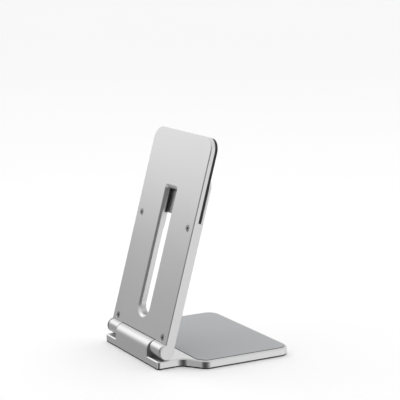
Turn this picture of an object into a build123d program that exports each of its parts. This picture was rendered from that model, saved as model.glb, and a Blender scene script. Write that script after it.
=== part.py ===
from build123d import *
import math
import os

# Tablet stand: a flared aluminium base with a hinge along its rear edge, and a slotted
# arm that holds a tablet by its own kickstand.
# Frame: origin on the floor under the middle of the base, +Z up, +X along the hinge
# axis, -Y towards the user. Millimetres.

# ---- driving dimensions -------------------------------------------------------------

# base
base_width = 134.0
base_depth = 121.0
neck_width = 99.0
neck_length = 23.0
flare_length = 13.5
neck_bend_radius = 9.0
shoulder_radius = 9.0
front_corner_radius = 11.0
rear_corner_radius = 2.5
foot_thickness = 1.3
foot_inset = 0.4
base_top_z = 7.2
edge_chamfer = 0.9

# inlaid pad in the base's top
pad_border = 2.0
pad_rear_offset = 32.0
pad_recess = 1.2
pad_thickness = 1.6
pad_gap = 0.2
pad_rear_radius = 7.0

# hinge
hinge_from_rear = 8.4
hinge_z = 14.3
barrel_radius = 6.5
middle_knuckle_width = 59.4
knuckle_bore_radius = 4.5
wall_root_depth = 5.0
thrust_washer_thickness = 1.0
shaft_radius = 3.0
running_clearance = 0.05
cheek_thickness = 1.2
seam_gap = 0.9
hinge_chamfer = 0.4

# arm, measured along its own plane from the hinge axis
lean_deg = 15.0
arm_width = 100.0
arm_length = 181.5
arm_back = -2.6
arm_front = barrel_radius
head_thickness = 4.0
ledge_height = 110.2
head_corner_radius = 12.0
arm_chamfer = 0.6
slot_width = 17.2
slot_bottom = 20.1
slot_top = 132.9
slot_chamfer = 1.7
slot_corner_radius = 1.5
slot_end_slant_deg = 24.0
channel_width = 30.0
channel_bottom = 19.0
channel_floor = 3.7
channel_corner_radius = 6.0
barrel_clearance = 0.1
knuckle_clearance = 0.45

# kickstand clamp on the front of the arm
head_pad_thickness = 2.8
head_pad_inset = 0.2
clamp_plate_width = 92.0
clamp_plate_bottom = 96.0
clamp_plate_top = 148.0
clamp_plate_thickness = 2.0
clamp_corner_radius = 9.0
clamp_notch_width = 32.0
clamp_notch_corner_radius = 2.0
clamp_pad_notch_top = 134.5
clamp_pad_thickness = 0.6
clamp_pad_inset = 1.0

# screws
screw_x = 41.3
hinge_screw_height = 10.6
clamp_screw_height = 104.0
screw_radius = 1.5
screw_head_radius = 2.85
screw_sink = 0.1
screw_rim = 0.15
screw_play = 0.05
screw_hole_radius = 1.65
thread_hole_radius = 1.5
socket_width = 2.0
socket_depth = 1.1

# hinge internals
tongue_width = 11.0
tongue_bottom = 4.0
tongue_top = 17.0
tongue_back = 0.2
tongue_front = 3.4
tongue_gap = 0.1
friction_clip_count = 8
friction_clip_thickness = 2.4
friction_clip_pitch = 2.6
clip_slit = 1.2
friction_clip_start = 8.3
shaft_inner_end = 5.0
shaft_clip_groove = 6.6
shaft_clip_thickness = 0.8
shaft_clip_radius = 4.2
shaft_groove_radius = 2.4
washer_play = 0.1
washer_inset = 0.6

# two points closer than this are the same place
same_place = 0.01

# ---- derived places -----------------------------------------------------------------

rear_y = base_depth / 2
front_y = -base_depth / 2
half_base = base_width / 2
half_neck = neck_width / 2
half_arm = arm_width / 2
half_knuckle = middle_knuckle_width / 2
hinge_y = rear_y - hinge_from_rear
lean = math.radians(lean_deg)
slot_slant = math.radians(slot_end_slant_deg)
barrel_start = half_knuckle + thrust_washer_thickness
barrel_end = half_arm - cheek_thickness - seam_gap
barrel_length = barrel_end - barrel_start
head_front = arm_back + head_thickness
clamp_back = arm_front
clamp_front = arm_front + clamp_plate_thickness
clamp_pad_back = clamp_back - clamp_pad_thickness

# local axes of the arm: x along the hinge, y up the arm, z out of its front face
arm_forward = (0, -math.cos(lean), -math.sin(lean))
arm_backward = (0, math.cos(lean), math.sin(lean))
sides = {"left": -1, "right": 1}


def arm_plane(forward=0.0):
    """Plane parallel to the arm, this far in front of the hinge axis."""
    return Plane(origin=(0, hinge_y, hinge_z), x_dir=(1, 0, 0), z_dir=arm_forward).offset(forward)


def across_plane(x):
    """Plane across the hinge axis at this x: local x is forward, local y is up the arm.

    It faces -X, so a positive extrusion from it goes towards -X.
    """
    return Plane(origin=(x, hinge_y, hinge_z), x_dir=arm_forward, z_dir=(-1, 0, 0))


def side_plane(x):
    """Plane across the base at this x: local x is the row's Y, local y is the row's Z."""
    return Plane(origin=(x, 0, 0), x_dir=(0, 1, 0), z_dir=(1, 0, 0))


def screw_places(height):
    """The pair of screw places at this height on the arm's back face, facing backwards."""
    back = arm_plane(arm_back)
    face = Plane(origin=back.origin, x_dir=(-1, 0, 0), z_dir=arm_backward)
    return [Plane(face * Location((side * screw_x, height, 0))) for side in sides.values()]


def towards_front(tilt):
    """Direction out of the arm's front face, turned up the arm by this angle."""
    turned = lean - tilt
    return (0, -math.cos(turned), -math.sin(turned))


def clamp_outline(bottom, inset, notch_width, notch_top):
    """Clamp plate's outline from this height up, taken in and notched for the slot."""
    width = clamp_plate_width - 2 * inset
    top = clamp_plate_top - inset
    with BuildSketch(mode=Mode.PRIVATE) as outline:
        with Locations((0, bottom)):
            Rectangle(width, top - bottom, align=(Align.CENTER, Align.MIN))
        fillet(outline.vertices().group_by(Axis.Y)[-1], clamp_corner_radius)
        with BuildSketch(mode=Mode.PRIVATE) as notch:
            with Locations((0, notch_top)):
                Rectangle(notch_width, clamp_plate_top - clamp_plate_bottom, align=(Align.CENTER, Align.MAX))
            fillet(notch.vertices().group_by(Axis.Y)[-1], clamp_notch_corner_radius)
        add(notch.sketch, mode=Mode.SUBTRACT)
    return outline.sketch


def finish(builder, label):
    """Label a finished piece and write it to its own file."""
    builder.part.label = label
    export_step(builder.part, f"parts/{label}.step")


def corners_at(outline, y):
    """The outline's corners at this Y, without a point on the middle line."""
    level = outline.vertices().filter_by(lambda v: abs(v.Y - y) < same_place)
    return level.filter_by(lambda v: abs(v.X) > same_place)


def base_outline(inset=0.0):
    """Flared outline: narrow neck at the rear, S-shaped shoulders, wide rounded front."""
    flare_start = rear_y - neck_length
    flare_end = flare_start - flare_length
    corners = [
        (0, rear_y),
        (half_neck, rear_y),
        (half_neck, flare_start),
        (half_base, flare_end),
        (half_base, front_y),
        (0, front_y),
    ]
    with BuildSketch(mode=Mode.PRIVATE) as outline:
        with BuildLine():
            Polyline(*corners)
            mirror(about=Plane.YZ)
        make_face()
        for y, radius in (
            (rear_y, rear_corner_radius),
            (flare_start, neck_bend_radius),
            (flare_end, shoulder_radius),
            (front_y, front_corner_radius),
        ):
            fillet(corners_at(outline, y), radius)
        if inset:
            offset(amount=-inset, kind=Kind.INTERSECTION)
    return outline.sketch


def pad_outline(shrink=0.0):
    """The base's outline taken in by the border and cut straight behind the pad."""
    with BuildSketch(mode=Mode.PRIVATE) as outline:
        add(base_outline(pad_border + shrink))
        pad_rear = rear_y - pad_rear_offset - shrink
        with Locations((0, pad_rear)):
            Rectangle(base_width, base_depth, align=(Align.CENTER, Align.MIN), mode=Mode.SUBTRACT)
        fillet(outline.vertices().group_by(Axis.Y)[-1], pad_rear_radius)
    return outline.sketch


os.makedirs("parts", exist_ok=True)

# ---- base plate ---------------------------------------------------------------------
# The plate, its rear wall and the middle knuckle are one machined piece.

with BuildPart() as base_plate:
    with BuildSketch(Plane.XY.offset(foot_thickness)):
        add(base_outline())
    extrude(amount=base_top_z - foot_thickness)
    top_face = base_plate.faces().sort_by(Axis.Z)[-1]
    chamfer(top_face.edges(), edge_chamfer)

    # the wall's rear face is upright and rolls over the top on an arc as deep as the wall
    roll_radius = hinge_from_rear
    knuckle_top_z = hinge_z + barrel_radius
    roll_center_z = knuckle_top_z - roll_radius
    roll_middle = roll_radius * math.sqrt(0.5)
    front_middle = barrel_radius * math.sqrt(0.5)
    wall_front_y = hinge_y - barrel_radius
    wall_root_z = base_top_z - wall_root_depth
    with BuildSketch(side_plane(-half_knuckle)):
        with BuildLine():
            Line((rear_y, wall_root_z), (rear_y, roll_center_z))
            ThreePointArc(
                (rear_y, roll_center_z),
                (hinge_y + roll_middle, roll_center_z + roll_middle),
                (hinge_y, knuckle_top_z),
            )
            ThreePointArc(
                (hinge_y, knuckle_top_z),
                (hinge_y - front_middle, hinge_z + front_middle),
                (wall_front_y, hinge_z),
            )
            Line((wall_front_y, hinge_z), (wall_front_y, wall_root_z))
            Line((wall_front_y, wall_root_z), (rear_y, wall_root_z))
        make_face()
    extrude(amount=middle_knuckle_width)
    end_arcs = base_plate.edges().filter_by(GeomType.CIRCLE).filter_by(
        lambda e: e.center().Z > hinge_z and abs(abs(e.center().X) - half_knuckle) < same_place
    )
    end_walls = base_plate.edges().filter_by(Axis.Z).filter_by(
        lambda e: e.center().Z > base_top_z and abs(abs(e.center().X) - half_knuckle) < same_place
    )
    chamfer(end_arcs + end_walls, hinge_chamfer)

    with BuildSketch(side_plane(-half_knuckle)):
        with Locations((hinge_y, hinge_z)):
            Circle(knuckle_bore_radius)
    extrude(amount=middle_knuckle_width, mode=Mode.SUBTRACT)

    with BuildSketch(Plane.XY.offset(base_top_z)):
        add(pad_outline())
    extrude(amount=-pad_recess, mode=Mode.SUBTRACT)
finish(base_plate, "base_plate")

with BuildPart() as base_top_pad:
    with BuildSketch(Plane.XY.offset(base_top_z - pad_recess)):
        add(pad_outline(pad_gap))
    extrude(amount=pad_thickness)
finish(base_top_pad, "base_top_pad")

with BuildPart() as base_foot_pad:
    with BuildSketch(Plane.XY):
        add(base_outline(foot_inset))
    extrude(amount=foot_thickness)
finish(base_foot_pad, "base_foot_pad")

# ---- arm ----------------------------------------------------------------------------
# A thick lower part up to the ledge, then a thinner head. Thin cheeks at both edges run
# down over the ends of the hinge barrels and finish round, about the hinge axis.

barrel_room = half_arm - cheek_thickness
knuckle_room = half_knuckle + thrust_washer_thickness
with BuildPart() as arm_plate:
    # side profile, carried across the arm's width
    back_root = math.sqrt(barrel_radius**2 - arm_back**2)
    round_low = barrel_radius * math.sqrt(0.5)
    with BuildSketch(across_plane(half_arm)):
        with BuildLine():
            Polyline(
                (arm_back, back_root),
                (arm_back, arm_length),
                (head_front, arm_length),
                (head_front, ledge_height),
                (arm_front, ledge_height),
                (arm_front, 0),
            )
            ThreePointArc((arm_front, 0), (-round_low, -round_low), (arm_back, back_root))
        make_face()
    extrude(amount=arm_width)
    forward_axis = Axis((0, 0, 0), arm_forward)
    head_corners = arm_plate.edges().filter_by(forward_axis).sort_by(Axis.Z)[-2:]
    fillet(head_corners, head_corner_radius)

    # long slot, round below and square above, both of whose ends slant inwards
    slot_middle = (slot_bottom + slot_top) / 2
    slot_depth = (arm_front - arm_back) / math.cos(slot_slant)
    with BuildSketch(arm_plane(arm_back)):
        with Locations((0, (slot_bottom + slot_middle) / 2)):
            SlotOverall(slot_middle - slot_bottom, slot_width, rotation=90)
    extrude(amount=slot_depth, dir=towards_front(slot_slant), mode=Mode.SUBTRACT)
    with BuildSketch(arm_plane(arm_back)) as slot_head:
        with Locations((0, slot_top)):
            Rectangle(slot_width, slot_top - slot_middle + slot_width, align=(Align.CENTER, Align.MAX))
        fillet(slot_head.vertices().group_by(Axis.Y)[-1], slot_corner_radius)
    extrude(amount=slot_depth, dir=towards_front(-slot_slant), mode=Mode.SUBTRACT)

    # a broad bevel round the slot and a fine one round the back face
    back_face = arm_plate.faces().filter_by(forward_axis).sort_by(forward_axis)[0]
    chamfer(back_face.inner_wires()[0].edges(), slot_chamfer)
    back_face = arm_plate.faces().filter_by(forward_axis).sort_by(forward_axis)[0]
    bevelled = back_face.outer_wire().edges().filter_by(
        lambda e: e.center().Z > hinge_z + barrel_radius
    )
    chamfer(bevelled, arm_chamfer)
    cheek_rounds = arm_plate.edges().filter_by(GeomType.CIRCLE).filter_by(
        lambda e: abs(e.center().Z - hinge_z) < barrel_radius
        and abs(abs(e.center().X) - half_arm) < same_place
    )
    chamfer(cheek_rounds, hinge_chamfer)

    # shallow channel along the front of the slot, open at the ledge
    with BuildSketch(arm_plane(channel_floor)) as channel:
        with Locations((0, channel_bottom)):
            Rectangle(channel_width, arm_length, align=(Align.CENTER, Align.MIN))
        fillet(channel.vertices().group_by(Axis.Y)[0], channel_corner_radius)
    extrude(amount=arm_front - channel_floor, mode=Mode.SUBTRACT)

    # room for the two outer barrels between the cheeks
    with BuildSketch(across_plane(barrel_room)):
        Circle(barrel_radius + barrel_clearance)
        Rectangle(4 * barrel_radius, 2 * barrel_radius, align=(Align.CENTER, Align.MAX))
    extrude(amount=2 * barrel_room, mode=Mode.SUBTRACT)

    # wider room round the middle knuckle, square in front so that the arm folds flat
    with BuildSketch(across_plane(knuckle_room)):
        Circle(barrel_radius + knuckle_clearance)
        Rectangle(
            2 * barrel_radius,
            barrel_radius + knuckle_clearance,
            align=(Align.MIN, Align.MIN),
        )
    extrude(amount=2 * knuckle_room, mode=Mode.SUBTRACT)

    # pockets for the barrels' tongues, open towards the hinge
    pocket_thickness = tongue_front - tongue_back + 2 * tongue_gap
    with BuildSketch(arm_plane(tongue_back - tongue_gap)):
        for side in sides.values():
            with Locations((side * screw_x, 0)):
                Rectangle(
                    tongue_width + 2 * tongue_gap,
                    tongue_top + tongue_gap,
                    align=(Align.CENTER, Align.MIN),
                )
    extrude(amount=pocket_thickness, mode=Mode.SUBTRACT)

    # countersunk screw holes from the back
    sink_radius = screw_head_radius + screw_sink + screw_rim + screw_play
    with Locations(*screw_places(hinge_screw_height)):
        CounterSinkHole(screw_hole_radius, sink_radius, tongue_back - arm_back)
    with Locations(*screw_places(clamp_screw_height)):
        CounterSinkHole(screw_hole_radius, sink_radius, arm_front - arm_back)
finish(arm_plate, "arm_plate")

with BuildPart() as head_pad:
    with BuildSketch(arm_plane(head_front)) as pad_face:
        pad_width = arm_width - 2 * head_pad_inset
        pad_height = arm_length - ledge_height - 2 * head_pad_inset
        with Locations((0, ledge_height + head_pad_inset)):
            Rectangle(pad_width, pad_height, align=(Align.CENTER, Align.MIN))
        fillet(pad_face.vertices().sort_by(Axis.Y)[-2:], head_corner_radius - head_pad_inset)
        notch_top = slot_top - (head_thickness + head_pad_thickness / 2) * math.tan(slot_slant)
        with Locations((0, notch_top)):
            Rectangle(
                slot_width + 2 * head_pad_inset,
                slot_top - ledge_height,
                align=(Align.CENTER, Align.MAX),
                mode=Mode.SUBTRACT,
            )
    extrude(amount=head_pad_thickness)
finish(head_pad, "head_pad")

# ---- kickstand clamp ----------------------------------------------------------------

with BuildPart() as clamp_plate:
    with BuildSketch(arm_plane(clamp_back)):
        add(clamp_outline(clamp_plate_bottom, 0.0, clamp_notch_width, ledge_height))
    extrude(amount=clamp_plate_thickness)
    with Locations(*screw_places(clamp_screw_height)):
        Hole(thread_hole_radius, clamp_front - arm_back)
finish(clamp_plate, "clamp_plate")

with BuildPart() as clamp_pad:
    with BuildSketch(arm_plane(clamp_pad_back)):
        pad_bottom = ledge_height + clamp_pad_inset
        add(clamp_outline(pad_bottom, clamp_pad_inset, clamp_notch_width, clamp_pad_notch_top))
    extrude(amount=clamp_pad_thickness)
finish(clamp_pad, "clamp_pad")

# ---- screws -------------------------------------------------------------------------
# Flat-head screws with a hexagon socket. Each height on the arm has a pair.


def screw_profile(length):
    """Half outline of a flat-head screw whose head is sunk just below the arm's back."""
    rim_depth = screw_sink + screw_rim
    cone_end = rim_depth + screw_head_radius - screw_radius
    points = [
        (0, -screw_sink),
        (screw_head_radius, -screw_sink),
        (screw_head_radius, -rim_depth),
        (screw_radius, -cone_end),
        (screw_radius, -length),
        (0, -length),
    ]
    return points


for label, height, tip in (
    ("hinge_screws", hinge_screw_height, tongue_front - screw_sink),
    ("clamp_screws", clamp_screw_height, clamp_front - screw_sink),
):
    with BuildPart() as screws:
        for place in screw_places(height):
            across = Plane(origin=place.origin, x_dir=place.x_dir, z_dir=-place.y_dir)
            with BuildSketch(across):
                with BuildLine():
                    Polyline(*screw_profile(tip - arm_back), close=True)
                make_face()
            revolve(axis=Axis(place.origin, place.z_dir))
            with BuildSketch(place.offset(-screw_sink)):
                RegularPolygon(socket_width / 2, 6, major_radius=False)
            extrude(amount=-socket_depth, mode=Mode.SUBTRACT)
    finish(screws, label)

# ---- hinge --------------------------------------------------------------------------
# Each side has a barrel with a tongue in the arm, a steel shaft fixed in the barrel, and
# a stack of split spring clips, held in the middle knuckle, that grip the shaft.

for name, side in sides.items():
    # the plane nearest -X of each piece, so that every extrusion can go towards -X
    barrel_far = max(side * barrel_start, side * barrel_end)
    with BuildPart() as barrel:
        with BuildSketch(across_plane(barrel_far)):
            Circle(barrel_radius)
        extrude(amount=barrel_length)
        chamfer(barrel.edges().filter_by(GeomType.CIRCLE), hinge_chamfer)
        with BuildSketch(arm_plane(tongue_back)):
            with Locations((side * screw_x, tongue_bottom)):
                Rectangle(tongue_width, tongue_top - tongue_bottom, align=(Align.CENTER, Align.MIN))
        extrude(amount=tongue_front - tongue_back)
        with BuildSketch(across_plane(barrel_far)):
            Circle(shaft_radius)
        extrude(amount=barrel_length, mode=Mode.SUBTRACT)
        with Locations(*screw_places(hinge_screw_height)):
            Hole(thread_hole_radius, tongue_front - arm_back)
    finish(barrel, f"hinge_barrel_{name}")

    shaft_far = max(side * shaft_inner_end, side * barrel_end)
    groove_far = max(side * shaft_clip_groove, side * (shaft_clip_groove + shaft_clip_thickness))
    with BuildPart() as shaft:
        with BuildSketch(across_plane(shaft_far)):
            Circle(shaft_radius)
        extrude(amount=barrel_end - shaft_inner_end)
        with BuildSketch(across_plane(groove_far)):
            Circle(shaft_radius)
            Circle(shaft_groove_radius, mode=Mode.SUBTRACT)
        extrude(amount=shaft_clip_thickness, mode=Mode.SUBTRACT)
    finish(shaft, f"hinge_shaft_{name}")

    with BuildPart() as shaft_clip:
        with BuildSketch(across_plane(groove_far)):
            Circle(shaft_clip_radius)
            Circle(shaft_groove_radius, mode=Mode.SUBTRACT)
            Rectangle(
                clip_slit,
                shaft_clip_radius,
                align=(Align.CENTER, Align.MIN),
                mode=Mode.SUBTRACT,
            )
        extrude(amount=shaft_clip_thickness)
    finish(shaft_clip, f"shaft_clip_{name}")

    washer_thickness = thrust_washer_thickness - washer_play
    washer_far = max(side * (barrel_start - washer_thickness), side * barrel_start)
    with BuildPart() as washer:
        with BuildSketch(across_plane(washer_far)):
            Circle(barrel_radius - washer_inset)
            Circle(shaft_radius, mode=Mode.SUBTRACT)
        extrude(amount=washer_thickness)
    finish(washer, f"thrust_washer_{name}")

    with BuildPart() as friction_clips:
        for n in range(friction_clip_count):
            inner = friction_clip_start + n * friction_clip_pitch
            clip_far = max(side * inner, side * (inner + friction_clip_thickness))
            with BuildSketch(across_plane(clip_far)):
                Circle(knuckle_bore_radius)
                Circle(shaft_radius + running_clearance, mode=Mode.SUBTRACT)
                Rectangle(
                    clip_slit,
                    2 * knuckle_bore_radius,
                    align=(Align.CENTER, Align.MAX),
                    mode=Mode.SUBTRACT,
                )
            extrude(amount=friction_clip_thickness)
    finish(friction_clips, f"friction_clips_{name}")
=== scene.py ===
# %% [markdown]
# # A folding tablet stand
#
# The stand is three things: a flared aluminium base that lies on the desk, a slotted arm
# that leans over it, and a friction hinge between the two. The hard parts come from CAD
# and are already in their places, so this file gives them their finishes, rebuilds the
# soft pads and the screws as finer surfaces, and sets up the studio.
#
# Everything is in metres. +X runs along the hinge, -Y points at the person using the
# stand, +Z is up, and the origin is on the desk under the middle of the base.

# %% Load the frame
import math

import bmesh
import bpy
import numpy as np
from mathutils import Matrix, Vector


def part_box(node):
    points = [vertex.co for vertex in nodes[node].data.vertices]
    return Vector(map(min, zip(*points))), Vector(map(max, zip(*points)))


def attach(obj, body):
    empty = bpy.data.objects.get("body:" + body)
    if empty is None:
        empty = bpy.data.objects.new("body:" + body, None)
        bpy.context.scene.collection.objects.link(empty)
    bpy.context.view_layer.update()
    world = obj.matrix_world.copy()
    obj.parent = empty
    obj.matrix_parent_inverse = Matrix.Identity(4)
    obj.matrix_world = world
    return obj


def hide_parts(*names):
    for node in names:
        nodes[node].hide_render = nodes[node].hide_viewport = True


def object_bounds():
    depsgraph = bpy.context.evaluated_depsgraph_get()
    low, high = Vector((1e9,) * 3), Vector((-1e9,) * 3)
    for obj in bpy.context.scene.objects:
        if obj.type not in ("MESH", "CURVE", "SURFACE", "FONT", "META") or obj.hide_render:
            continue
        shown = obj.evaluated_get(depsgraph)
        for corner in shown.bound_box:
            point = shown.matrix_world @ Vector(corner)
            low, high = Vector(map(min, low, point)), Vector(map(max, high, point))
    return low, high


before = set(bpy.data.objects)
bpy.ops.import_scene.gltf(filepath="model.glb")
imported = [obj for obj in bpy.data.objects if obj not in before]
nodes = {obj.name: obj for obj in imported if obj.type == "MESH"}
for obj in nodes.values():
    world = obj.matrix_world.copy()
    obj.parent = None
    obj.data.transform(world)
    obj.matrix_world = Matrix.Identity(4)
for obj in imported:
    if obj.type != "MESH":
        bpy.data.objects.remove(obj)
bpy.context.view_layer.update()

# %% [markdown]
# ## The camera
#
# The stand is seen from behind its left edge, a little above the desk, through a long
# lens. A long lens keeps upright edges nearly parallel, as in a catalogue. The place
# is given the way a photographer would say it: how far round, how high, how far away,
# and what the lens is aimed at.

# %% Camera
azimuth = math.radians(240.35)
elevation = math.radians(10.58)
camera_distance = 1.175
lens_mm = 121.95
low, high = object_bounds()
centre = (low + high) / 2
aim = centre + Vector((0.002, -0.009, 0.0339))

towards_camera = Vector((
    math.sin(azimuth) * math.cos(elevation),
    -math.cos(azimuth) * math.cos(elevation),
    math.sin(elevation),
))
camera_data = bpy.data.cameras.new("camera")
camera_data.lens = lens_mm
camera_data.sensor_width = 36.0
camera = bpy.data.objects.new("camera", camera_data)
camera.location = aim + towards_camera * camera_distance
camera.rotation_euler = (-towards_camera).to_track_quat("-Z", "Y").to_euler()
bpy.context.scene.collection.objects.link(camera)
bpy.context.scene.camera = camera
print("camera at", [round(v, 3) for v in camera.location])

# %% [markdown]
# ## Writing finishes as sums
#
# A finish is a network of nodes, and a network is hard to read. Most of it is plain
# arithmetic, so `Wire` wraps one output and lets Python's own signs add the Math nodes:
# `0.4 + 0.1 * grain` is then a line that can be read aloud. `Recipe` holds the network
# and adds every other kind of node through one method.


# %% Wire and Recipe
class Wire:
    """One output of a node. Arithmetic on it adds the Math node that does it."""

    def __init__(self, recipe, socket):
        self.recipe = recipe
        self.socket = socket

    def math(self, operation, first, second):
        settings = {"operation": operation}
        return self.recipe.add("ShaderNodeMath", settings, {0: first, 1: second})

    def __add__(self, other):
        return self.math("ADD", self, other)

    def __radd__(self, other):
        return self.math("ADD", other, self)

    def __sub__(self, other):
        return self.math("SUBTRACT", self, other)

    def __rsub__(self, other):
        return self.math("SUBTRACT", other, self)

    def __mul__(self, other):
        return self.math("MULTIPLY", self, other)

    def __rmul__(self, other):
        return self.math("MULTIPLY", other, self)


class Recipe:
    """A node network under construction, with one way to add any node to it."""

    def __init__(self, tree):
        self.tree = tree
        self.tree.nodes.clear()

    def add(self, kind, settings=None, inputs=None, output=0):
        """Add a node: its settings are set first, then its sockets are fed."""
        node = self.tree.nodes.new(kind)
        for name, value in (settings or {}).items():
            setattr(node, name, value)
        for name, value in (inputs or {}).items():
            if isinstance(value, Wire):
                self.tree.links.new(value.socket, node.inputs[name])
            else:
                node.inputs[name].default_value = value
        return Wire(self, node.outputs[output]) if node.outputs else None

    def place(self):
        """Where a point of the piece is, in metres, in the stand's own frame."""
        return self.add("ShaderNodeTexCoord", output="Object")

    def scaled(self, place, per_axis):
        """The place stretched by its own factor along each axis."""
        return self.add(
            "ShaderNodeVectorMath", {"operation": "MULTIPLY"}, {0: place, 1: per_axis}
        )

    def noise(self, place, size, detail=2.0, roughness=0.5):
        """Soft random spots about this many metres across, from 0 to 1."""
        inputs = {"Vector": place, "Scale": 1 / size, "Detail": detail, "Roughness": roughness}
        return self.add("ShaderNodeTexNoise", {}, inputs)

    def cells(self, place, size):
        """Distance to the nearest of many scattered points, this many metres apart."""
        return self.add("ShaderNodeTexVoronoi", {}, {"Vector": place, "Scale": 1 / size})

    def step(self, value, start, end):
        """0 below start, 1 above end, and a smooth slope between them."""
        settings = {"interpolation_type": "SMOOTHSTEP"}
        inputs = {"Value": value, "From Min": start, "From Max": end}
        return self.add("ShaderNodeMapRange", settings, inputs)

    def blend(self, share, first, second):
        """Mix two colours: share 0 gives the first and share 1 the second."""
        settings = {"data_type": "RGBA"}
        inputs = {"Factor": share, 6: first, 7: second}
        return self.add("ShaderNodeMix", settings, inputs, output=2)


def grey(value, warmth=0.0):
    """A colour close to grey; positive warmth leans it to yellow, negative to blue."""
    return (value * (1 + warmth), value, value * (1 - warmth), 1.0)


print("wires and recipes are ready")

# %% [markdown]
# ## Rounding the edges
#
# No machined edge is truly sharp: tumbling and blasting leave a tiny round that catches
# the light as a fine line. The Bevel node looks at the faces near a point and leans the
# normal over between them, so the CAD solids keep their exact shape and still show that
# line. `edges` turns the same lean into a mask of the edges, which are made smoother and
# get a painted dark reflection in their colour.


# %% Edge helpers
def rounded_normal(recipe, radius):
    """The surface normal, leaning over every edge within this radius."""
    return recipe.add("ShaderNodeBevel", {"samples": 8}, {"Radius": radius})


def edges(recipe, radius):
    """A mask near 1 on edges: how far the leaning normal has left the true one."""
    leaning = rounded_normal(recipe, radius)
    flat = recipe.add("ShaderNodeNewGeometry", output="True Normal")
    likeness = recipe.add(
        "ShaderNodeVectorMath", {"operation": "DOT_PRODUCT"}, {0: leaning, 1: flat}, "Value"
    )
    return recipe.step(1 - likeness, 0.004, 0.12)


def bumped(recipe, height, distance, normal=None):
    """A normal pushed about by a height field this many metres deep."""
    inputs = {"Height": height, "Distance": distance, "Strength": 1.0}
    if normal is not None:
        inputs["Normal"] = normal
    return recipe.add("ShaderNodeBump", {}, inputs)


def new_material(name):
    """An empty material and the recipe of its network."""
    material = bpy.data.materials.new(name)
    material.use_nodes = True
    return material, Recipe(material.node_tree)


def close(recipe, surface):
    """Join the finished shader to the output."""
    recipe.add("ShaderNodeOutputMaterial", {}, {"Surface": surface})


print("edge helpers are ready")

# %% [markdown]
# ## Blasted and anodised aluminium
#
# The base and the arm are milled, blasted with fine glass beads and anodised in plain
# silver. Blasting covers the metal in dimples about a tenth of a millimetre wide, which
# is what makes it satin. Three sizes of noise stand for the dimples, the slight mottle
# of the blasting and the cloudiness of the dye bath. The narrow bevels are cut after
# blasting, so they are smoother. The dark side of the studio that they mirror as fine
# lines is a painted reflection: their colour is painted darker.


# %% Blasted aluminium
dimple_size = 0.00016
dimple_depth = 0.000006
mottle_size = 0.0012
cloud_size = 0.035


def blasted_aluminium(name, tone, roughness, edge_radius=0.0004, metallic=1.0):
    """Satin metal: the clouds and the mottle vary its tone and sheen, and a painted dark
    reflection lies on its edges.
    """
    material, recipe = new_material(name)
    place = recipe.place()
    dimples = recipe.noise(place, dimple_size, detail=1.0)
    mottle = recipe.noise(place, mottle_size, detail=3.0)
    clouds = recipe.noise(place, cloud_size, detail=2.0)
    rim = edges(recipe, edge_radius)
    shade = 0.955 + 0.05 * mottle + 0.04 * clouds
    colour = recipe.blend(shade, grey(0.0), grey(tone))
    # Painted reflection: the edges are painted darker, for the dark side of the studio that they
    # mirror.
    painted_edge_reflection = grey(tone * 0.62)
    colour = recipe.blend(rim * 0.5, colour, painted_edge_reflection)
    spread = roughness + 0.06 * (clouds - 0.5) + 0.05 * (mottle - 0.5) - 0.10 * rim
    normal = bumped(recipe, dimples, dimple_depth, rounded_normal(recipe, edge_radius))
    shader = recipe.add("ShaderNodeBsdfPrincipled", {}, {
        "Base Color": colour,
        "Metallic": metallic,
        "Roughness": spread,
        "Normal": normal,
    })
    close(recipe, shader)
    return material


base_finish = blasted_aluminium("base_blasted", 0.62, 0.35)
arm_finish = blasted_aluminium("arm_blasted", 0.63, 0.38)
# Painted light: the clamp plate's copy is paler and less metallic than the base and arm, standing
# in for light that hardly reaches it in the gap in front of the arm.
clamp_lightened_finish = blasted_aluminium("clamp_blasted_lightened", 0.80, 0.50, edge_radius=0.0003, metallic=0.35)
print("blasted finishes:", base_finish.name, arm_finish.name, clamp_lightened_finish.name)

# %% [markdown]
# ## Turned aluminium
#
# The two hinge barrels are turned on a lathe, so their surface is a stack of very fine
# rings about the hinge line. A noise that is squeezed to nothing across the axis and
# kept along it changes only with X, which is exactly what a turning tool leaves.


# %% Turned aluminium
band_size = 0.0016
stain_size = 0.0009


def turned_metal(name, tone, roughness, ring=0.00018, depth=0.0000035, edge_radius=0.0003):
    """Lathe-turned metal: fine rings for its relief and wider bands for its tone."""
    material, recipe = new_material(name)
    place = recipe.place()
    along = recipe.scaled(place, (1.0, 0.0, 0.0))
    rings = recipe.noise(along, ring, detail=3.0)
    bands = recipe.noise(along, band_size, detail=2.0)
    stains = recipe.noise(place, stain_size, detail=2.0)
    shade = 0.93 + 0.05 * bands + 0.04 * stains
    colour = recipe.blend(shade, grey(0.0), grey(tone))
    spread = roughness + 0.08 * (rings - 0.5) + 0.05 * (bands - 0.5)
    normal = bumped(recipe, rings, depth, rounded_normal(recipe, edge_radius))
    shader = recipe.add("ShaderNodeBsdfPrincipled", {}, {
        "Base Color": colour,
        "Metallic": 1.0,
        "Roughness": spread,
        "Normal": normal,
    })
    close(recipe, shader)
    return material


barrel_finish = turned_metal("barrel_turned", 0.60, 0.30)
shaft_finish = turned_metal("shaft_ground", 0.52, 0.22, edge_radius=0.0001)
spring_finish = turned_metal("spring_steel", 0.40, 0.35, ring=0.0004, edge_radius=0.0001)
print("turned finishes:", barrel_finish.name, shaft_finish.name, spring_finish.name)

# %% [markdown]
# ## Nickel-plated screws
#
# Plating follows the steel below it, so a screw head has a very fine grain, with small
# darker spots where the plating is thin.


# %% Screw finish
spot_size = 0.0006
plating_grain = 0.00012
plating_relief = 0.000004


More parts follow.
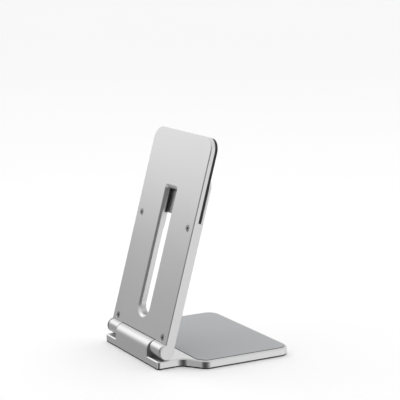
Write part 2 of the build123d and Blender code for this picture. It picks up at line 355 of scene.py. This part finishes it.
def plated_steel(name, tone, roughness):
    """Plating over turned steel, with darker spots where it is thin."""
    material, recipe = new_material(name)
    place = recipe.place()
    spots = recipe.noise(place, spot_size, detail=3.0)
    fine = recipe.noise(place, plating_grain, detail=1.0)
    thin = recipe.step(spots, 0.5, 0.72)
    colour = recipe.blend(thin * 0.5, grey(tone), grey(tone * 0.55, 0.02))
    spread = roughness + 0.12 * (spots - 0.5)
    shader = recipe.add("ShaderNodeBsdfPrincipled", {}, {
        "Base Color": colour,
        "Metallic": 1.0,
        "Roughness": spread,
        "Normal": bumped(recipe, fine, plating_relief),
    })
    close(recipe, shader)
    return material


screw_finish = plated_steel("screw_plated", 0.30, 0.36)
print("screw finish:", screw_finish.name)

# %% [markdown]
# ## Rubber and the grey inlay
#
# The pads are sheets of moulded silicone. A mould with a fine spark-eroded texture
# leaves a skin of tiny pebbles, which scatters light so that the sheet looks dead matt
# beside the metal. Scattered cells make the pebbles, and a wide noise adds the dusty
# unevenness that such a skin always has. The grey inlay is punched out of a sheet, and its
# sides are painted much darker than its top: painted shade, a thin line all round the sheet.


# %% Rubber finish
dust_size = 0.018
smear_size = 0.0016
skin_relief = 0.00003


def moulded_rubber(name, tone, roughness, pebble=0.00035, warmth=0.0, painted_side_shade=None):
    """Matt pebbled silicone; a darker tone, if given, is painted on its sides as painted shade."""
    material, recipe = new_material(name)
    place = recipe.place()
    pebbles = recipe.cells(place, pebble)
    fine = recipe.noise(place, pebble * 0.4, detail=2.0)
    dust = recipe.noise(place, dust_size, detail=4.0, roughness=0.6)
    smears = recipe.noise(place, smear_size, detail=2.0)
    shade = 0.90 + 0.06 * dust + 0.08 * smears
    colour = recipe.blend(shade, grey(0.0), grey(tone, warmth))
    # Painted shade: faces that do not look up are painted in the darker side tone.
    if painted_side_shade is not None:
        facing = recipe.add("ShaderNodeNewGeometry", output="True Normal")
        upright = {0: facing, 1: (0.0, 0.0, 1.0)}
        top = recipe.add("ShaderNodeVectorMath", {"operation": "DOT_PRODUCT"}, upright, "Value")
        colour = recipe.blend(recipe.step(top, 0.35, 0.9), grey(painted_side_shade), colour)
    spread = roughness + 0.10 * (dust - 0.5)
    relief = pebbles * 0.7 + fine * 0.3
    shader = recipe.add("ShaderNodeBsdfPrincipled", {}, {
        "Base Color": colour,
        "Roughness": spread,
        "Specular IOR Level": 0.35,
        "Normal": bumped(recipe, relief, skin_relief),
    })
    close(recipe, shader)
    return material


inlay_finish = moulded_rubber("inlay_grey", 0.455, 0.72, warmth=-0.018, painted_side_shade=0.07)
pad_finish = moulded_rubber("pad_black", 0.018, 0.55)
foot_finish = moulded_rubber("foot_black", 0.02, 0.62, pebble=0.0005)
washer_finish = moulded_rubber("washer_black", 0.03, 0.42, pebble=0.0002)
print("rubber finishes:", inlay_finish.name, pad_finish.name, foot_finish.name)

# %% [markdown]
# ## Dressing the CAD parts
#
# Each hard part keeps its CAD shape and gets its finish in its own material slot.


# %% Finishes onto CAD nodes
def dress(material, *names):
    """Put this finish on the named CAD nodes, in every slot they have."""
    for name in names:
        slots = nodes[name].data.materials
        slots.clear()
        slots.append(material)


dress(base_finish, "base_plate")
dress(arm_finish, "arm_plate")
dress(clamp_lightened_finish, "clamp_plate")
dress(barrel_finish, "hinge_barrel_left", "hinge_barrel_right")
dress(shaft_finish, "hinge_shaft_left", "hinge_shaft_right")
dress(spring_finish, "friction_clips_left", "friction_clips_right")
dress(spring_finish, "shaft_clip_left", "shaft_clip_right")
dress(washer_finish, "thrust_washer_left", "thrust_washer_right")
print("dressed the hard CAD parts")

# %% [markdown]
# ## The four pads
#
# The stand touches the desk, the tablet and the tablet's kickstand only through rubber.
# A grey sheet is let into the base's top, a thin black one covers its underside, and
# two black pads line the gap that grips the kickstand. Moulded rubber has no sharp
# edge: the sheet rolls over into its side on a small round, and that round is what
# shows where a pad ends and the metal begins. Each pad starts from its CAD sheet. The
# loose triangles are merged, flat faces are made whole again, and a Bevel modifier rolls
# the edges, so the pad sits exactly where the CAD says.


# %% Moulded pads
same_point = 1e-6
in_one_plane = math.radians(0.5)
true_edge = math.radians(35)


def join_body(piece, body, slot, *replaced):
    """Let a finished piece move with a body and stand for its CAD nodes."""
    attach(piece, body)
    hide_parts(*replaced)


def moulded_pad(name, node, roll, material):
    """A CAD sheet whose edges roll over on an arc of this radius.

    Points of the sheet closer than a thousandth of a millimetre become one point, and
    triangles that lie in one plane become one face, so that only true edges are rolled.
    """
    source = nodes[node].data
    shell = bmesh.new()
    shell.from_mesh(source)
    bmesh.ops.remove_doubles(shell, verts=shell.verts, dist=same_point)
    bmesh.ops.dissolve_limit(
        shell, angle_limit=in_one_plane, verts=shell.verts, edges=shell.edges
    )
    shell.verts.index_update()
    points = [tuple(vert.co) for vert in shell.verts]
    faces = [[vert.index for vert in face.verts] for face in shell.faces]
    shell.free()
    mesh = bpy.data.meshes.new(name)
    mesh.from_pydata(points, [], faces)
    mesh.shade_smooth()
    mesh.set_sharp_from_angle(angle=true_edge)
    mesh.materials.append(material)
    pad = bpy.data.objects.new(name, mesh)
    bpy.context.scene.collection.objects.link(pad)
    rolled = pad.modifiers.new("rolled_edge", "BEVEL")
    rolled.width = roll
    rolled.segments = 4
    rolled.limit_method = "ANGLE"
    rolled.angle_limit = true_edge
    rolled.harden_normals = True
    print(name, "has", len(points), "points in", len(faces), "faces")
    return pad


for name, node, body, slot, roll, material in (
    ("inlay_pad", "base_top_pad", "base", "base_pad_grey", 0.00030, inlay_finish),
    ("foot_sheet", "base_foot_pad", "base", "foot_rubber", 0.00025, foot_finish),
    ("head_cushion", "head_pad", "arm", "pad_rubber", 0.00045, pad_finish),
    ("clamp_cushion", "clamp_pad", "arm", "pad_rubber", 0.00020, pad_finish),
):
    pad = moulded_pad(name, node, roll, material)
    join_body(pad, body, slot, node)

# %% [markdown]
# ## Four countersunk screws
#
# Two screws hold the hinge's tongues in the arm and two hold the clamp plate. Their heads
# lie a tenth of a millimetre below the arm's back and take a hexagon key. A screw is the
# plainest lathe shape there is, with two exceptions: the socket is six-sided, and the
# thread climbs. Both are only a change of radius with the angle, so the whole screw
# is one grid: rows run along its profile, columns run round its axis.


# %% Screw skin
columns = 60
head_radius = 0.00285
shank_radius = 0.0015
socket_half = 0.0010
socket_depth = 0.0011
cone_end = 0.0015
thread_pitch = 0.0005
thread_depth = 0.00018
tip_bevel = 0.0004
rows_per_pitch = 8
turn = np.linspace(0, 2 * np.pi, columns, endpoint=False)


def screw_skin(length):
    """Radius and depth of every point of a screw, as rows along it by columns round it.

    Socket: the radius is the distance from the middle of a hexagon to its side, which is
    half its width divided by the cosine of the angle from the nearest side's middle.
    Head and cone: the radius is the same all round. Thread: the radius goes down by a
    triangle wave of the depth in pitches less the angle in turns, so that a crest climbs
    one pitch in each turn.
    """
    sixth = np.pi / 3
    hexagon = socket_half / np.cos((turn + sixth / 2) % sixth - sixth / 2)
    even = np.ones(columns)
    rows = [
        (0.0 * even, socket_depth + 0.0003),
        (0.6 * hexagon, socket_depth + 0.00012),
        (hexagon, socket_depth),
        (hexagon, 0.00014),
        (hexagon + 0.00014, 0.0),
        (0.00150 * even, 0.0),
        (0.00200 * even, 0.000012),
        (0.00240 * even, 0.0),
        (head_radius * even - 0.00010, 0.0),
        (head_radius * even - 0.00003, 0.00003),
        (head_radius * even, 0.00010),
        (head_radius * even, 0.00015),
        (shank_radius * even, cone_end),
    ]
    radius = np.array([row[0] for row in rows])
    depth = np.array([row[1] * even for row in rows])
    down = np.arange(cone_end + 0.0001, length - tip_bevel, thread_pitch / rows_per_pitch)[:, None]
    phase = (down / thread_pitch - turn / (2 * np.pi)) % 1.0
    wave = np.abs(2 * phase - 1)
    thread = shank_radius - thread_depth * wave
    tip = np.array([[shank_radius - thread_depth - 0.0001], [0.0]]) * even
    radius = np.vstack([radius, thread, tip])
    depth = np.vstack([depth, down * even, length * np.ones((2, columns))])
    return radius, depth


def grid_faces(rows):
    """Four-sided faces of a grid that closes on itself round its axis."""
    row, column = np.meshgrid(np.arange(rows - 1), np.arange(columns), indexing="ij")
    after = (column + 1) % columns
    corners = (row * columns + column, row * columns + after)
    below = ((row + 1) * columns + after, (row + 1) * columns + column)
    return np.stack(corners + below, axis=-1).reshape(-1, 4)


print("a hinge screw's skin is", screw_skin(0.0058)[0].shape, "points")

# %% Screws in their places
lean = math.radians(15.0)
head_edge = math.radians(30)
arm_back = np.array((0.0, math.cos(lean), math.sin(lean)))
arm_up = np.array((0.0, -math.sin(lean), math.cos(lean)))


def screw_pair(name, node):
    """Two screws at the places of the CAD pair, turned to the arm's back face.

    The CAD box touches the top of both heads and the ends of both shanks. Taking the
    head's own reach off the box gives the middle of the head, and the rest is length.
    """
    box_low, box_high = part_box(node)
    reach = head_radius * abs(arm_up)
    head_y, head_z = box_high.y - reach[1], box_high.z - reach[2]
    length = (head_y - box_low.y - shank_radius * abs(arm_up[1])) / arm_back[1]
    radius, depth = screw_skin(length)
    round_x = (radius * np.cos(turn))[..., None] * np.array((1.0, 0.0, 0.0))
    round_up = (radius * np.sin(turn))[..., None] * arm_up
    shape = (round_x + round_up - depth[..., None] * arm_back).reshape(-1, 3)
    faces = grid_faces(len(radius))
    offset = box_high.x - head_radius
    points = np.vstack([shape + (side * offset, head_y, head_z) for side in (-1, 1)])
    pair = bmesh.new()
    mesh = bpy.data.meshes.new(name)
    mesh.from_pydata(points.tolist(), [], np.vstack([faces, faces + len(shape)]).tolist())
    pair.from_mesh(mesh)
    bmesh.ops.remove_doubles(pair, verts=pair.verts, dist=1e-7)
    bmesh.ops.recalc_face_normals(pair, faces=pair.faces)
    pair.to_mesh(mesh)
    pair.free()
    mesh.shade_smooth()
    mesh.set_sharp_from_angle(angle=head_edge)
    mesh.materials.append(screw_finish)
    piece = bpy.data.objects.new(name, mesh)
    bpy.context.scene.collection.objects.link(piece)
    print(name, "length", round(length * 1000, 2), "mm, x", round(offset * 1000, 2))
    return piece


for name, node in (("hinge_screw_pair", "hinge_screws"), ("clamp_screw_pair", "clamp_screws")):
    join_body(screw_pair(name, node), "arm", "screw_steel", node)

# %% [markdown]
# ## The studio
#
# A product like this is shot in a white tent with a gap for the camera. Metal shows
# whatever is around it, so the tent is planned by direction: bright cloth across from
# the camera and to its right, a greyer panel beyond the arm's back face, and the dark gap
# itself, which gives every bend of the base that faces the camera its dark stripe. One
# soft box hangs near the arm. Because it is near, the top of the arm sees more of it
# than the foot does, so the back fades gently from top to bottom. A wide lamp overhead
# lights only the desk and the rubber, and the desk paper glows a little by itself, which
# keeps it white towards the horizon.

# %% Desk
desk_half = 12.0
paper_tone = 0.93
paper_glow = 0.10
desk_mesh = bpy.data.meshes.new("desk")
corners = np.array([(-1, -1, 0), (1, -1, 0), (1, 1, 0), (-1, 1, 0)], float) * desk_half
desk_mesh.from_pydata(corners.tolist(), [], [(0, 1, 2, 3)])
desk = bpy.data.objects.new("desk", desk_mesh)
desk.visible_glossy = False
bpy.context.scene.collection.objects.link(desk)

desk_material, recipe = new_material("desk_white")
paper = recipe.noise(recipe.place(), 0.004, detail=2.0)
close(recipe, recipe.add("ShaderNodeBsdfPrincipled", {}, {
    "Base Color": recipe.blend(0.97 + 0.03 * paper, grey(0.0), grey(paper_tone)),
    "Roughness": 0.8,
    "Specular IOR Level": 0.1,
    "Emission Color": grey(1.0),
    "Emission Strength": paper_glow,
}))
desk_mesh.materials.append(desk_material)
print("desk is", 2 * desk_half, "m across")

# %% [markdown]
# ## Tent cloth by compass direction
#
# The glow is a formula of the direction looked in. Its flat part is a point on a compass
# circle, and the closer that point is to a panel's own bearing, the more the panel
# counts. The desk is left out of the metal's reflections, so the same formula below the
# horizon stands for the desk that each bearing would show.

# %% Tent glow
world = bpy.data.worlds.new("tent")
bpy.context.scene.world = world
world.use_nodes = True
recipe = Recipe(world.node_tree)
direction = recipe.add("ShaderNodeTexCoord", output="Generated")
flat_direction = recipe.scaled(direction, (1.0, 1.0, 0.0))
compass = recipe.add("ShaderNodeVectorMath", {"operation": "NORMALIZE"}, {0: flat_direction})
height = recipe.add("ShaderNodeVectorMath", {"operation": "DOT_PRODUCT"},
                    {0: direction, 1: (0.0, 0.0, 1.0)}, "Value")


def bearing(x, y, start, end):
    """How much a direction's bearing points at (x, y): 0 below start and 1 above end."""
    aimed = Vector((x, y, 0.0)).normalized()
    settings = {"operation": "DOT_PRODUCT"}
    likeness = recipe.add("ShaderNodeVectorMath", settings, {0: compass, 1: tuple(aimed)}, "Value")
    return recipe.step(likeness, start, end)


across = bearing(0.863, -0.505, 0.30, 0.95)
grey_panel = bearing(0.86, 0.51, 0.45, 0.92) * (1 - recipe.step(height, -0.05, 0.55))
camera_gap = bearing(-0.87, 0.49, 0.58, 0.88) * (1 - recipe.step(height, 0.50, 0.92))
side_cloth = bearing(-0.87, -0.49, 0.50, 0.95) * (1 - recipe.step(height, 0.10, 0.60))
plain_cloth, across_gain, side_gain = 1.00, 0.10, 0.24
panel_loss, gap_loss = 0.53, 0.94
lit = plain_cloth + across_gain * across + side_gain * side_cloth
strength = lit - panel_loss * grey_panel - gap_loss * camera_gap
glow = recipe.add("ShaderNodeBackground", {}, {"Color": grey(1.0), "Strength": strength})
recipe.add("ShaderNodeOutputWorld", {}, {"Surface": glow})
darkest, brightest = round(plain_cloth - gap_loss, 2), plain_cloth + side_gain
print("tent glows from", darkest, "in the gap to", brightest, "at the side cloth")


# %% Soft box
def soft_box(name, place, width, height, radiance, aim_at, mirrored=True):
    """A rectangular lamp aimed at a point; radiance is how bright its face looks.

    A lamp that is not mirrored lights the matt desk and rubber but never shows in metal.
    """
    data = bpy.data.lights.new(name, "AREA")
    data.shape = "RECTANGLE"
    data.size = width
    data.size_y = height
    data.energy = radiance * math.pi * width * height
    lamp = bpy.data.objects.new(name, data)
    lamp.location = place
    lamp.rotation_euler = (Vector(place) - Vector(aim_at)).to_track_quat("Z", "Y").to_euler()
    lamp.visible_camera = False
    lamp.visible_glossy = mirrored
    bpy.context.scene.collection.objects.link(lamp)
    return lamp


soft_box("key", (0.52, 0.34, 0.39), 0.55, 0.46, 0.68, (0.0, 0.02, 0.19))
soft_box("ceiling", (0.3, -0.2, 1.7), 2.2, 2.2, 0.18, (0.0, 0.0, 0.0), mirrored=False)
bpy.context.scene.view_settings.view_transform = "Standard"
